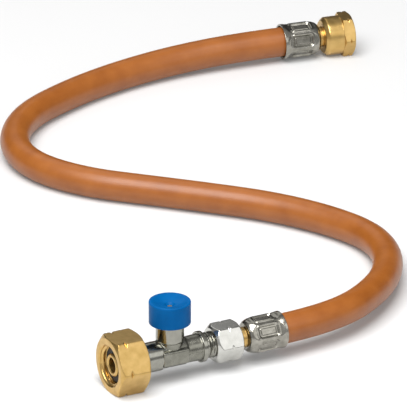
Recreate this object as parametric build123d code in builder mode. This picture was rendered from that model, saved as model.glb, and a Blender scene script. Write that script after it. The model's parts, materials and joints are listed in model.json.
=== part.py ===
"""LPG hose line with a hose rupture valve: union nut inlet, push-to-reset excess flow valve,
crimped rubber hose and a second union nut. Millimetres, +X from inlet to hose, +Z up."""

import os
from math import cos, radians, sin, tan

from build123d import *

os.makedirs("parts", exist_ok=True)

# ---- driving sizes: inlet end ----
inlet_flats = 30.0  # across the flats of the W21.8 left-hand union nut
inlet_nut_length = 17.5
inlet_notch_place = 5.8  # from the nut's front face
inlet_notch_depth = 1.3
inlet_notch_width = 2.2
inlet_thread_major = 21.8
inlet_mouth_dia = 23.2
inlet_rear_wall = 7.5
inlet_relief_length = 1.5
inlet_ring_face = 3.4  # depth of the seal ring's face behind the nut's front face
spigot_dia = 12.2
spigot_reach = 1.6  # how far the nozzle stands out of the seal ring
spigot_bore = 8.0
ring_groove_dia = 11.6  # the seal ring sits in this groove behind the spigot's lip
seal_ring_dia = 19.2
seal_ring_thickness = 2.6
nozzle_flange_dia = 19.0
nozzle_flange_length = 3.6
nozzle_thread_dia = 12.0
nozzle_thread_length = 8.0

# ---- driving sizes: valve body ----
neck_dia = 16.0
neck_visible = 11.0
block_length = 14.8
pad_height = 8.8
pad_width = 15.4
arm_dia = 14.8
arm_visible = 8.9
collar_dia = 16.7
collar_length = 2.6
relief_dia = 12.6
relief_length = 1.7
outlet_thread_dia = 14.0
outlet_thread_pitch = 1.5
outlet_thread_visible = 3.3
outlet_thread_engaged = 8.6
chamber_dia = 9.0
seat_bore_dia = 10.0
stem_width = 13.4
stem_neck_dia = 15.0
stem_neck_start = 8.4  # above the flow axis
stem_top = 19.4
gland_bore_dia = 10.0
gland_bore_start = 9.4
gland_flange_dia = 12.8
gland_flange_thickness = 1.5
spring_well_dia = 6.4
spring_well_start = 14.0
pin_passage_dia = 6.4
outlet_bore = 7.0
outlet_cone_mouth = 10.4
outlet_cone_angle = 12.0

# ---- driving sizes: reset button ----
cap_dia = 22.2
cap_height = 12.3
cap_rim = 30.0  # above the flow axis
cap_wall = 1.6
cap_crown = 3.2
dish_depth = 2.0
countersink_dia = 5.8
pin_dia = 3.0
pin_shoulder_dia = 5.8
pin_shoulder_thickness = 0.7
clip_dia = 5.8
clip_thickness = 0.6
clip_groove_dia = 2.4
button_wire = 0.55
button_coil_dia = 4.6
button_turns = 5

# ---- driving sizes: poppet train ----
tail_dia = 2.4
poppet_head_dia = 6.4
poppet_head_thickness = 1.6
poppet_seal_thickness = 0.5
poppet_nose = 1.5
poppet_travel = 2.45
poppet_guide_thickness = 2.2
spider_thickness = 1.6
spider_gap = 9.2  # room for the spring between the guide and the spider
seat_hole_dia = 5.0
seat_length = 3.0
poppet_wire = 0.45
poppet_coil_dia = 6.6
poppet_turns = 4
strainer_thickness = 0.6
strainer_hole_dia = 1.0
o_ring_section = 0.8

# ---- driving sizes: outlet nut, hose ends ----
outlet_flats = 19.0
outlet_nut_length = 15.5
outlet_nose_length = 2.6
outlet_rear_wall = 2.0
nipple_collar_dia = 11.0
nipple_collar_visible = 4.3
nipple_bore = 4.6
ferrule_length = 21.4
ferrule_front_dia = 16.9
ferrule_flats = 17.2
ferrule_flare_dia = 20.0
ferrule_front_wall = 1.2
ferrule_hook_dia = 8.0
flare_length = 3.4
crimp_length = 14.4
imprint_length = 10.6
imprint_width = 5.6
imprint_depth = 0.45
hose_dia = 16.3
hose_bore = 6.3
crimped_hose_dia = 14.6
hose_seat = 2.6  # how far into the ferrule the hose keeps its full size

# ---- driving sizes: far end ----
far_flats = 22.0
far_nut_round_length = 10.3
far_nut_hex_length = 6.6
far_nut_round_dia = 21.6
far_nut_rear_chamfer = 1.9
far_thread_major = 16.66
far_rear_wall = 2.2
far_thread_length = 7.5
far_relief_dia = 17.6
far_collar_visible = 2.4
far_heading = -9.2  # degrees in plan
far_mouth = (232.28, 347.66)  # where the hose enters the far ferrule, in plan
far_ferrule_roll = 13.0

# ---- clearances ----
fit = 0.02  # between pieces that are screwed, pressed or seated together
running = 0.05  # radial, between pieces that slide or turn closely
slack = 0.2  # radial, between a loose union nut and what it turns on

# ---- stations along the flow axis, worked out from the sizes above ----
valve_length = (
    inlet_nut_length
    + neck_visible
    + block_length
    + arm_visible
    + collar_length
    + relief_length
    + outlet_thread_visible
    + outlet_nut_length
    + nipple_collar_visible
    + ferrule_length
)
axis_height = inlet_flats / 2
nut_front = -valve_length / 2
nut_rear = nut_front + inlet_nut_length
block_start = nut_rear + neck_visible
block_end = block_start + block_length
button_x = (block_start + block_end) / 2
collar_start = block_end + arm_visible
relief_start = collar_start + collar_length
thread_start = relief_start + relief_length
outlet_nut_start = thread_start + outlet_thread_visible
outlet_nut_end = outlet_nut_start + outlet_nut_length
ferrule_start = outlet_nut_end + nipple_collar_visible
ferrule_end = ferrule_start + ferrule_length
body_end = outlet_nut_start + outlet_thread_engaged
neck_end = nut_front + inlet_ring_face + seal_ring_thickness + nozzle_flange_length + 2 * fit
nozzle_end = neck_end + nozzle_thread_length
chamber_start = nozzle_end + strainer_thickness + 2 * fit
guide_start = chamber_start + 0.3
guide_end = guide_start + poppet_guide_thickness
spider_start = guide_end + spider_gap
seal_face = button_x + 9.6  # the poppet's sealing face at rest, clear of the reset pin
seat_start = seal_face + poppet_travel + running
seat_end = seat_start + seat_length

flow_plane = Plane(origin=(0, 0, axis_height), x_dir=(1, 0, 0), z_dir=(0, -1, 0))
flow_line = Axis((0, 0, axis_height), (1, 0, 0))
stem_plane = Plane(origin=(button_x, 0, axis_height), x_dir=(1, 0, 0), z_dir=(0, -1, 0))
stem_line = Axis((button_x, 0, axis_height), (0, 0, 1))


def across(x):
    """Plane square to the flow axis at station x, its own x along +Y."""
    return Plane(origin=(x, 0, axis_height), x_dir=(0, 1, 0), z_dir=(1, 0, 0))


def level(height):
    """Level plane on the button's axis, height above the flow axis."""
    return Plane(origin=(button_x, 0, axis_height + height))


def turn(outline, plane=flow_plane, line=flow_line, mode=Mode.ADD):
    """Revolve a closed outline of (along, radius) points about the piece's own axis."""
    with BuildSketch(plane) as section:
        with BuildLine():
            Polyline(*outline, close=True)
        make_face()
    revolve(section.sketch, axis=line, mode=mode)


def disc_turn(outline, mode=Mode.ADD):
    """Revolve a closed outline of (radius, height) points about the button's axis."""
    turn(outline, stem_plane, stem_line, mode)


def chamfer_cone(start, end, corner_radius, face_radius, plane=flow_plane, line=flow_line):
    """Keep what lies inside a bar whose ends are turned down to face_radius at 30 degrees."""
    run = (corner_radius - face_radius) * tan(radians(30))
    outline = [
        (start, 0),
        (start, face_radius),
        (start + run, corner_radius),
        (end - run, corner_radius),
        (end, face_radius),
        (end, 0),
    ]
    turn(outline, plane, line, Mode.INTERSECT)


def corner_notch(middle, corner_radius, plane=flow_plane, line=flow_line, depth=1.0, half_width=0.7):
    """Cut the small V across each corner that marks a left-hand thread."""
    root = corner_radius - depth
    edge = corner_radius + 0.1
    outline = [(middle, root), (middle - half_width, edge), (middle + half_width, edge)]
    turn(outline, plane, line, Mode.SUBTRACT)


def hexagon(plane, flats, depth):
    """Extrude a hexagon with a flat facing up from the plane."""
    with BuildSketch(plane) as section:
        RegularPolygon(radius=flats / 2, side_count=6, major_radius=False)
    extrude(section.sketch, amount=depth)


def o_ring(plane, cord_dia, axis):
    """Ring of round cord, its section centred on the plane's origin."""
    with BuildSketch(plane) as section:
        Circle(cord_dia / 2)
    revolve(section.sketch, axis=axis)


def save(piece, name):
    """Label a finished piece and write its STEP file."""
    piece.part.label = name
    export_step(piece.part, f"parts/{name}.step")


# ======== inlet: union nut, seal ring, nozzle ========
inlet_corner = inlet_flats / 2 / cos(radians(30))
inlet_shoulder = nut_rear - inlet_rear_wall
with BuildPart() as inlet_union_nut:
    hexagon(across(nut_front), inlet_flats, inlet_nut_length)
    chamfer_cone(nut_front, nut_rear, inlet_corner, inlet_flats / 2 - 0.4)
    thread_start_x = nut_front + (inlet_mouth_dia - inlet_thread_major) / 2
    turn(
        [
            (nut_front - 1, 0),
            (nut_front - 1, inlet_mouth_dia / 2),
            (nut_front, inlet_mouth_dia / 2),
            (thread_start_x, inlet_thread_major / 2),
            (inlet_shoulder - inlet_relief_length, inlet_thread_major / 2),
            (inlet_shoulder - inlet_relief_length, inlet_thread_major / 2 + 0.4),
            (inlet_shoulder, inlet_thread_major / 2 + 0.4),
            (inlet_shoulder, neck_dia / 2 + slack),
            (nut_rear + 1, neck_dia / 2 + slack),
            (nut_rear + 1, 0),
        ],
        mode=Mode.SUBTRACT,
    )
    corner_notch(
        nut_front + inlet_notch_place,
        inlet_corner,
        depth=inlet_notch_depth,
        half_width=inlet_notch_width / 2,
    )
save(inlet_union_nut, "inlet_union_nut")

ring_front = nut_front + inlet_ring_face
ring_rear = ring_front + seal_ring_thickness
spigot_tip = ring_front - spigot_reach
with BuildPart() as inlet_seal_ring:
    turn(
        [
            (ring_front, ring_groove_dia / 2 + fit),
            (ring_front, seal_ring_dia / 2 - 0.5),
            (ring_front + 0.5, seal_ring_dia / 2),
            (ring_rear, seal_ring_dia / 2),
            (ring_rear, ring_groove_dia / 2 + fit),
        ]
    )
save(inlet_seal_ring, "inlet_seal_ring")

nozzle_groove = neck_end + 1.0
with BuildPart() as inlet_nozzle:
    turn(
        [
            (spigot_tip, spigot_bore / 2 + 0.5),
            (spigot_tip, spigot_dia / 2 - 0.6),
            (spigot_tip + 0.6, spigot_dia / 2),
            (ring_front - fit, spigot_dia / 2),
            (ring_front - fit, ring_groove_dia / 2),
            (ring_rear + fit, ring_groove_dia / 2),
            (ring_rear + fit, nozzle_flange_dia / 2),
            (neck_end - fit, nozzle_flange_dia / 2),
            (neck_end - fit, nozzle_thread_dia / 2 - fit),
            (nozzle_groove, nozzle_thread_dia / 2 - fit),
            (nozzle_groove, nozzle_thread_dia / 2 - o_ring_section),
            (nozzle_groove + o_ring_section + 0.3, nozzle_thread_dia / 2 - o_ring_section),
            (nozzle_groove + o_ring_section + 0.3, nozzle_thread_dia / 2 - fit),
            (nozzle_end, nozzle_thread_dia / 2 - fit),
            (nozzle_end, spigot_bore / 2),
            (spigot_tip + 0.5, spigot_bore / 2),
        ]
    )
save(inlet_nozzle, "inlet_nozzle")


def flow_ring_plane(x, ring_radius):
    """Where an O-ring's section sits when the ring lies round the flow axis."""
    return Plane(origin=(x, 0, axis_height + ring_radius), x_dir=(1, 0, 0), z_dir=(0, -1, 0))


def stem_ring_plane(height, ring_radius):
    """Where an O-ring's section sits when the ring lies round the button's axis."""
    return Plane(origin=(button_x + ring_radius, 0, axis_height + height), x_dir=(1, 0, 0), z_dir=(0, -1, 0))


nozzle_ring_radius = nozzle_thread_dia / 2 - o_ring_section / 2 - fit
nozzle_ring_x = nozzle_groove + (o_ring_section + 0.3) / 2
with BuildPart() as nozzle_o_ring:
    o_ring(flow_ring_plane(nozzle_ring_x, nozzle_ring_radius), o_ring_section - 2 * fit, flow_line)
save(nozzle_o_ring, "nozzle_o_ring")

# ======== forged valve body ========
cone_depth = (outlet_cone_mouth - outlet_bore) / 2 / tan(radians(outlet_cone_angle))
with BuildPart() as valve_body:
    turn(
        [
            (neck_end, 0),
            (neck_end, neck_dia / 2),
            (block_start + 1.5, neck_dia / 2),
            (block_start + 2.0, arm_dia / 2),
            (collar_start, arm_dia / 2),
            (collar_start, collar_dia / 2 - 0.4),
            (collar_start + 0.4, collar_dia / 2),
            (relief_start - 0.4, collar_dia / 2),
            (relief_start, collar_dia / 2 - 0.4),
            (relief_start, relief_dia / 2),
            (thread_start, relief_dia / 2),
            (thread_start + 0.6, outlet_thread_dia / 2),
            (body_end - 0.6, outlet_thread_dia / 2),
            (body_end, outlet_thread_dia / 2 - 0.6),
            (body_end, 0),
        ]
    )
    with BuildSketch(level(0)):
        Circle(stem_width / 2)
    extrude(amount=stem_neck_start)
    with BuildSketch(level(stem_neck_start)):
        Circle(stem_neck_dia / 2)
    extrude(amount=stem_top - stem_neck_start)
    with BuildSketch(level(-pad_height / 2)):
        RectangleRounded(block_length, pad_width, 0.8)
    extrude(amount=pad_height)
    # fine thread of the outlet, cut as rings
    for ring in range(6):
        ring_x = thread_start + 0.9 + ring * outlet_thread_pitch
        thread_root = outlet_thread_dia / 2 - 0.75
        turn(
            [
                (ring_x - 0.6, outlet_thread_dia / 2 + 0.1),
                (ring_x, thread_root),
                (ring_x + 0.6, outlet_thread_dia / 2 + 0.1),
            ],
            mode=Mode.SUBTRACT,
        )
    # bores: nozzle socket, chamber, outlet bore and its cone
    turn(
        [
            (neck_end - 1, 0),
            (neck_end - 1, nozzle_thread_dia / 2),
            (chamber_start, nozzle_thread_dia / 2),
            (chamber_start, chamber_dia / 2),
            (seat_end + fit, chamber_dia / 2),
            (seat_end + fit, outlet_bore / 2),
            (body_end - cone_depth, outlet_bore / 2),
            (body_end, outlet_cone_mouth / 2),
            (body_end + 1, outlet_cone_mouth / 2),
            (body_end + 1, 0),
        ],
        mode=Mode.SUBTRACT,
    )
    disc_turn(
        [
            (0, 0),
            (pin_passage_dia / 2, 0),
            (pin_passage_dia / 2, gland_bore_start),
            (gland_bore_dia / 2, gland_bore_start),
            (gland_bore_dia / 2, stem_top + 1),
            (0, stem_top + 1),
        ],
        mode=Mode.SUBTRACT,
    )
save(valve_body, "valve_body")

# ======== excess flow poppet train ========
strainer_start = nozzle_end + fit
with BuildPart() as inlet_strainer:
    with BuildSketch(across(strainer_start)):
        Circle(nozzle_thread_dia / 2 - fit)
        Circle(strainer_hole_dia / 2, mode=Mode.SUBTRACT)
        for ring_count, ring_radius in ((6, 1.7), (12, 3.3)):
            with PolarLocations(ring_radius, ring_count):
                Circle(strainer_hole_dia / 2, mode=Mode.SUBTRACT)
    extrude(amount=strainer_thickness)
save(inlet_strainer, "inlet_strainer")

tail_radius = tail_dia / 2
head_start = seal_face - poppet_seal_thickness - poppet_head_thickness
with BuildPart() as poppet:
    turn(
        [
            (guide_start, 0),
            (guide_start, tail_radius),
            (head_start, tail_radius),
            (head_start, poppet_head_dia / 2),
            (head_start + poppet_head_thickness, poppet_head_dia / 2),
            (head_start + poppet_head_thickness, tail_radius),
            (seal_face + poppet_nose - 0.5, tail_radius),
            (seal_face + poppet_nose, tail_radius - 0.5),
            (seal_face + poppet_nose, 0),
        ]
    )
save(poppet, "poppet")

with BuildPart() as poppet_seal:
    with BuildSketch(across(seal_face - poppet_seal_thickness + fit)):
        Circle(poppet_head_dia / 2)
        Circle(tail_radius + fit, mode=Mode.SUBTRACT)
    extrude(amount=poppet_seal_thickness - fit)
save(poppet_seal, "poppet_seal")


def spoked_disc(x, outer_radius, hole_radius, thickness, windows):
    """Disc with round flow windows between a hub and a rim."""
    with BuildSketch(across(x)) as section:
        Circle(outer_radius)
        Circle(hole_radius, mode=Mode.SUBTRACT)
        with PolarLocations((outer_radius + hole_radius) / 2 + 0.1, windows):
            Circle((outer_radius - hole_radius) / 2 - 0.6, mode=Mode.SUBTRACT)
    extrude(section.sketch, amount=thickness)


with BuildPart() as poppet_guide:
    spoked_disc(guide_start, chamber_dia / 2 - running, tail_radius + fit, poppet_guide_thickness, 6)
save(poppet_guide, "poppet_guide")

with BuildPart() as spring_spider:
    spoked_disc(spider_start, chamber_dia / 2 - fit, tail_radius + running, spider_thickness, 6)
save(spring_spider, "spring_spider")


def coil(plane, coil_dia, wire, turns, length):
    """Helical wire spring along the plane's normal, inside the given overall length."""
    rise = length - wire - 2 * fit
    base = plane.offset(wire / 2 + fit)
    with BuildLine() as centre_line:
        helix = Helix(rise / turns, rise, coil_dia / 2, center=base.origin, direction=base.z_dir)
    with BuildSketch(Plane(origin=helix @ 0, z_dir=helix % 0)) as section:
        Circle(wire / 2)
    sweep(section.sketch, path=centre_line.line, is_frenet=True)


with BuildPart() as poppet_spring:
    coil(across(guide_end), poppet_coil_dia, poppet_wire, poppet_turns, spider_gap)
save(poppet_spring, "poppet_spring")

with BuildPart() as seat_ring:
    turn(
        [
            (seat_start, seat_hole_dia / 2),
            (seat_start, poppet_head_dia / 2),
            (seat_start + 0.3, poppet_head_dia / 2 + 0.3),
            (seat_start + 0.3, chamber_dia / 2 - fit),
            (seat_end, chamber_dia / 2 - fit),
            (seat_end, seat_hole_dia / 2),
        ]
    )
save(seat_ring, "seat_ring")

# ======== reset button ========
gland_top = stem_top + fit + gland_flange_thickness
pin_groove = gland_bore_start + 2.2
pin_clearance = pin_dia / 2 + running
gland_groove = stem_top - 2.4
with BuildPart() as button_gland:
    disc_turn(
        [
            (pin_clearance, gland_bore_start + fit),
            (gland_bore_dia / 2 - fit, gland_bore_start + fit),
            (gland_bore_dia / 2 - fit, gland_groove),
            (gland_bore_dia / 2 - o_ring_section, gland_groove),
            (gland_bore_dia / 2 - o_ring_section, gland_groove + o_ring_section + 0.3),
            (gland_bore_dia / 2 - fit, gland_groove + o_ring_section + 0.3),
            (gland_bore_dia / 2 - fit, stem_top + fit),
            (gland_flange_dia / 2, stem_top + fit),
            (gland_flange_dia / 2, gland_top),
            (spring_well_dia / 2, gland_top),
            (spring_well_dia / 2, spring_well_start),
            (pin_clearance, spring_well_start),
            (pin_clearance, pin_groove + o_ring_section + 0.2),
            (pin_dia / 2 + o_ring_section, pin_groove + o_ring_section + 0.2),
            (pin_dia / 2 + o_ring_section, pin_groove),
            (pin_clearance, pin_groove),
        ]
    )
save(button_gland, "button_gland")

gland_ring_radius = gland_bore_dia / 2 - o_ring_section / 2 - fit
gland_ring_height = gland_groove + (o_ring_section + 0.3) / 2
with BuildPart() as gland_o_ring:
    o_ring(stem_ring_plane(gland_ring_height, gland_ring_radius), o_ring_section - 2 * fit, stem_line)
save(gland_o_ring, "gland_o_ring")

pin_ring_radius = pin_dia / 2 + o_ring_section / 2
pin_ring_height = pin_groove + (o_ring_section + 0.2) / 2
with BuildPart() as pin_o_ring:
    o_ring(stem_ring_plane(pin_ring_height, pin_ring_radius), o_ring_section - 2 * fit, stem_line)
save(pin_o_ring, "pin_o_ring")

crown_top = cap_rim - dish_depth
crown_underside = crown_top - cap_crown
countersink_depth = (countersink_dia - pin_dia) / 2
cap_bottom = cap_rim - cap_height
with BuildPart() as reset_button_cap:
    disc_turn(
        [
            (pin_dia / 2 + fit, crown_underside),
            (cap_dia / 2 - cap_wall, crown_underside),
            (cap_dia / 2 - cap_wall, cap_bottom),
            (cap_dia / 2, cap_bottom),
            (cap_dia / 2, cap_rim - 0.8),
            (cap_dia / 2 - 0.8, cap_rim),
            (cap_dia / 2 - 1.4, cap_rim),
            (countersink_dia / 2, crown_top),
            (pin_dia / 2 + fit, crown_top - countersink_depth),
        ]
    )
save(reset_button_cap, "reset_button_cap")

clip_top = gland_bore_start - running
clip_bottom = clip_top - clip_thickness
pin_top = crown_top - countersink_depth + 0.3
shoulder_top = crown_underside - fit
shoulder_bottom = shoulder_top - pin_shoulder_thickness
with BuildPart() as button_pin:
    disc_turn(
        [
            (0, chamber_dia / 2 + running),
            (pin_dia / 2 - 0.6, chamber_dia / 2 + running),
            (pin_dia / 2, chamber_dia / 2 + running + 0.6),
            (pin_dia / 2, clip_bottom - fit),
            (clip_groove_dia / 2, clip_bottom - fit),
            (clip_groove_dia / 2, clip_top + fit),
            (pin_dia / 2, clip_top + fit),
            (pin_dia / 2, shoulder_bottom),
            (pin_shoulder_dia / 2, shoulder_bottom),
            (pin_shoulder_dia / 2, shoulder_top),
            (pin_dia / 2, shoulder_top),
            (pin_dia / 2, pin_top - 0.3),
            (pin_dia / 2 - 0.3, pin_top),
            (0, pin_top),
        ]
    )
save(button_pin, "button_pin")

with BuildPart() as pin_retaining_clip:
    with BuildSketch(level(clip_bottom)):
        Circle(clip_dia / 2)
        Circle(clip_groove_dia / 2 + fit, mode=Mode.SUBTRACT)
        with Locations((clip_dia / 2, 0)):
            Rectangle(clip_dia, clip_groove_dia * 0.8, mode=Mode.SUBTRACT)
    extrude(amount=clip_thickness)
save(pin_retaining_clip, "pin_retaining_clip")

button_spring_length = shoulder_bottom - spring_well_start
with BuildPart() as button_spring:
    coil(level(spring_well_start), button_coil_dia, button_wire, button_turns, button_spring_length)
save(button_spring, "button_spring")

# ======== outlet union nut ========
outlet_corner = outlet_flats / 2 / cos(radians(30))
outlet_shoulder = outlet_nut_end - outlet_rear_wall
shank_radius = nipple_collar_dia / 2
with BuildPart() as outlet_union_nut:
    hexagon(across(outlet_nut_start), outlet_flats, outlet_nut_length)
    turn(
        [
            (outlet_nut_start, 0),
            (outlet_nut_start, outlet_thread_dia / 2 + 1.6),
            (outlet_nut_start + outlet_nose_length, outlet_corner),
            (outlet_nut_end - 1.4, outlet_corner),
            (outlet_nut_end, outlet_flats / 2 - 0.6),
            (outlet_nut_end, 0),
        ],
        mode=Mode.INTERSECT,
    )
    turn(
        [
            (outlet_nut_start - 1, 0),
            (outlet_nut_start - 1, outlet_thread_dia / 2 + fit),
            (outlet_shoulder, outlet_thread_dia / 2 + fit),
            (outlet_shoulder, shank_radius + 2 * running),
            (outlet_nut_end + 1, shank_radius + 2 * running),
            (outlet_nut_end + 1, 0),
        ],
        mode=Mode.SUBTRACT,
    )
    corner_notch((outlet_nut_start + outlet_nut_end) / 2 + 0.6, outlet_corner)
save(outlet_union_nut, "outlet_union_nut")


# ======== hose ends, each drawn outwards from its ferrule's mouth ========
def end_plane(mouth, heading):
    """Plane through a hose end's axis: x from the mouth to the fitting, y up."""
    direction = Vector(cos(radians(heading)), sin(radians(heading)), 0)
    return Plane(origin=mouth, x_dir=direction, z_dir=direction.cross(Vector(0, 0, 1)))


far_height = far_flats / 2
near_end = end_plane((ferrule_end, 0, axis_height), 180)
far_end = end_plane((*far_mouth, far_height), far_heading)
near_line = Axis(near_end.origin, near_end.x_dir)
far_line = Axis(far_end.origin, far_end.x_dir)


def end_across(plane, distance, roll=0):
    """Plane square to a hose end's axis, distance in from the mouth."""
    square = Plane(origin=plane.from_local_coords((distance, 0, 0)), x_dir=-plane.z_dir, z_dir=plane.x_dir)
    return square.rotated((0, 0, roll))


def crimp_ferrule(plane, line, roll):
    """Flared steel sleeve pressed to a hexagon, with a pressed pocket on each face."""
    front = ferrule_length - ferrule_front_wall
    crimp_end = flare_length + crimp_length
    sleeve_radius = ferrule_flats / 2 / cos(radians(30)) - 0.5
    inner = crimped_hose_dia / 2 + fit
    turn(
        [
            (0, hose_dia / 2 + 0.9),
            (0, ferrule_flare_dia / 2),
            (flare_length, sleeve_radius),
            (crimp_end, sleeve_radius),
            (ferrule_length - 1.2, ferrule_front_dia / 2),
            (ferrule_length, ferrule_front_dia / 2 - 1.2),
            (ferrule_length, ferrule_hook_dia / 2),
            (front, ferrule_hook_dia / 2),
            (front, inner),
            (flare_length + 0.4, inner),
            (hose_seat, hose_dia / 2 + fit),
        ],
        plane,
        line,
    )
    with BuildSketch(end_across(plane, flare_length, roll)) as pressed_away:
        Circle(ferrule_flats)
        RegularPolygon(radius=ferrule_flats / 2, side_count=6, major_radius=False, mode=Mode.SUBTRACT)
    extrude(pressed_away.sketch, amount=crimp_length, mode=Mode.SUBTRACT)
    pocket_start = flare_length + (crimp_length - imprint_length) / 2
    with BuildSketch(end_across(plane, pocket_start, roll + 30)) as pockets:
        with PolarLocations(ferrule_flats / 2, 6):
            Rectangle(2 * imprint_depth, imprint_width)
    extrude(pockets.sketch, amount=imprint_length, mode=Mode.SUBTRACT)


with BuildPart() as near_ferrule:
    crimp_ferrule(near_end, near_line, 0)
save(near_ferrule, "near_ferrule")

with BuildPart() as far_ferrule:
    crimp_ferrule(far_end, far_line, far_ferrule_roll)
save(far_ferrule, "far_ferrule")

tail_tip = 3.6
barb_pitch = 3.2
barb_count = 4
flange_start = ferrule_length - ferrule_front_wall - 1.0
hose_end = flange_start - fit


def tail_outline():
    """Barbed tail of a hose nipple with the groove that the ferrule's front wall hooks into."""
    outline = [(tail_tip, nipple_bore / 2), (tail_tip, hose_bore / 2 - 0.5)]
    for barb in range(barb_count):
        crest = tail_tip + (barb + 1) * barb_pitch
        outline += [(crest, hose_bore / 2 - fit), (crest, hose_bore / 2 - 0.45)]
    outline += [
        (flange_start, hose_bore / 2 - 0.45),
        (flange_start, ferrule_hook_dia / 2 + 0.6),
        (ferrule_length - ferrule_front_wall - fit, ferrule_hook_dia / 2 + 0.6),
        (ferrule_length - ferrule_front_wall - fit, ferrule_hook_dia / 2 - fit),
        (ferrule_length + fit, ferrule_hook_dia / 2 - fit),
        (ferrule_length + fit, nipple_collar_dia / 2 - 0.5),
        (ferrule_length + fit + 0.5, nipple_collar_dia / 2),
    ]
    return outline


near_head = ferrule_end - outlet_shoulder + fit
cone_start = ferrule_end - body_end - fit
cone_end = cone_start + cone_depth - 0.6
cone_radius = outlet_cone_mouth / 2 - fit
cone_slope = tan(radians(outlet_cone_angle))
cone_groove = cone_start + 1.8
groove_floor = cone_radius - 1.8 * cone_slope - o_ring_section
with BuildPart() as near_hose_nipple:
    turn(
        tail_outline()
        + [
            (near_head, shank_radius),
            (near_head, outlet_thread_dia / 2 - 0.9),
            (cone_start, outlet_thread_dia / 2 - 0.9),
            (cone_start, cone_radius - 0.05),
            (cone_groove, cone_radius - 1.8 * cone_slope - 0.05),
            (cone_groove, groove_floor),
            (cone_groove + o_ring_section + 0.2, groove_floor),
            (cone_groove + o_ring_section + 0.2, cone_radius - (2 + o_ring_section) * cone_slope - 0.05),
            (cone_end, cone_radius - (cone_end - cone_start) * cone_slope - 0.05),
            (cone_end, nipple_bore / 2),
        ],
        near_end,
        near_line,
    )
save(near_hose_nipple, "near_hose_nipple")

nipple_ring_x = ferrule_end - cone_groove - (o_ring_section + 0.2) / 2
nipple_ring_radius = groove_floor + o_ring_section / 2 - 0.02
with BuildPart() as nipple_o_ring:
    o_ring(flow_ring_plane(nipple_ring_x, nipple_ring_radius), o_ring_section - 0.24, flow_line)
save(nipple_o_ring, "nipple_o_ring")

far_nut_start = ferrule_length + far_collar_visible
far_hex_start = far_nut_start + far_nut_round_length
far_nut_end = far_hex_start + far_nut_hex_length
far_shoulder = far_nut_start + far_rear_wall
far_thread_start = far_nut_end - 0.8 - far_thread_length
far_nose = far_thread_start - 0.2
far_head_radius = far_thread_major / 2 - 1.1
with BuildPart() as far_hose_nipple:
    turn(
        tail_outline()
        + [
            (far_shoulder + running, shank_radius),
            (far_shoulder + running, far_head_radius),
            (far_shoulder + running + 1.2, far_head_radius),
            (far_nose, far_head_radius - 1.6),
            (far_nose, nipple_bore / 2),
        ],
        far_end,
        far_line,
    )
save(far_hose_nipple, "far_hose_nipple")

far_corner = far_flats / 2 / cos(radians(30))
with BuildPart() as far_union_nut:
    hexagon(end_across(far_end, far_hex_start), far_flats, far_nut_hex_length)
    turn(
        [
            (far_hex_start, 0),
            (far_hex_start, far_flats / 2 + 0.3),
            (far_hex_start + 0.6, far_corner),
            (far_nut_end - 1.2, far_corner),
            (far_nut_end, far_flats / 2 - 0.4),
            (far_nut_end, 0),
        ],
        far_end,
        far_line,
        Mode.INTERSECT,
    )
    turn(
        [
            (far_nut_start, 0),
            (far_nut_start, far_nut_round_dia / 2 - far_nut_rear_chamfer),
            (far_nut_start + far_nut_rear_chamfer, far_nut_round_dia / 2),
            (far_hex_start, far_nut_round_dia / 2),
            (far_hex_start, 0),
        ],
        far_end,
        far_line,
    )
    turn(
        [
            (far_nut_start - 1, 0),
            (far_nut_start - 1, shank_radius + slack),
            (far_shoulder, shank_radius + slack),
            (far_shoulder, far_relief_dia / 2),
            (far_thread_start, far_relief_dia / 2),
            (far_thread_start, far_thread_major / 2),
            (far_nut_end - 0.8, far_thread_major / 2),
            (far_nut_end, far_thread_major / 2 + 0.8),
            (far_nut_end + 1, far_thread_major / 2 + 0.8),
            (far_nut_end + 1, 0),
        ],
        far_end,
        far_line,
        Mode.SUBTRACT,
    )
    corner_notch((far_hex_start + far_nut_end) / 2, far_corner, far_end, far_line, depth=0.9, half_width=0.5)
save(far_union_nut, "far_union_nut")

# ======== hose ========
lying = hose_dia / 2
near_lead = Vector(ferrule_end - hose_seat, 0, axis_height)
far_lead = far_end.from_local_coords((hose_seat, 0, 0))
route = [
    near_lead,
    near_lead + Vector(36, 0, 0),
    Vector(127, 28, 12.4),
    Vector(151, 63, 9.4),
    Vector(157.5, 96, lying),
    Vector(147, 130, lying),
    Vector(128, 159, lying),
    Vector(104, 184, lying),
    Vector(80.5, 207, lying),
    Vector(53, 232.5, lying),
    Vector(37, 264, lying),
    Vector(40, 297, lying),
    Vector(62, 326, lying),
    Vector(97, 342, lying),
    Vector(131, 352, lying),
    Vector(166, 355.5, 9.2),
    far_end.from_local_coords((-27, 0, 0)),
    far_lead,
]
arc_share = 0.45
radii = []
for before, point, after in zip(route, route[1:], route[2:]):
    turn_angle = (point - before).get_angle(after - point)
    shorter = min((point - before).length, (after - point).length)
    radii.append(arc_share * shorter / tan(radians(turn_angle / 2)))
print("cord radii", [round(radius) for radius in radii])
print("route", [(round(point.X, 1), round(point.Y, 1), round(point.Z, 2)) for point in route])

with BuildPart() as hose:
    with BuildLine():
        hose_path = FilletPolyline(*route, radius=radii)
    with BuildSketch(Plane(origin=near_lead, x_dir=(0, 1, 0), z_dir=(1, 0, 0))):
        Circle(hose_dia / 2)
        Circle(hose_bore / 2, mode=Mode.SUBTRACT)
    sweep()
    for plane, line in ((near_end, near_line), (far_end, far_line)):
        turn(
            [
                (hose_seat, hose_bore / 2),
                (hose_seat, hose_dia / 2),
                (flare_length + 0.4, crimped_hose_dia / 2),
                (hose_end, crimped_hose_dia / 2),
                (hose_end, hose_bore / 2),
            ],
            plane,
            line,
        )
print("hose length", round(hose_path.length, 1), "volume", round(hose.part.volume))
save(hose, "hose")
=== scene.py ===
import json
import math

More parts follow.
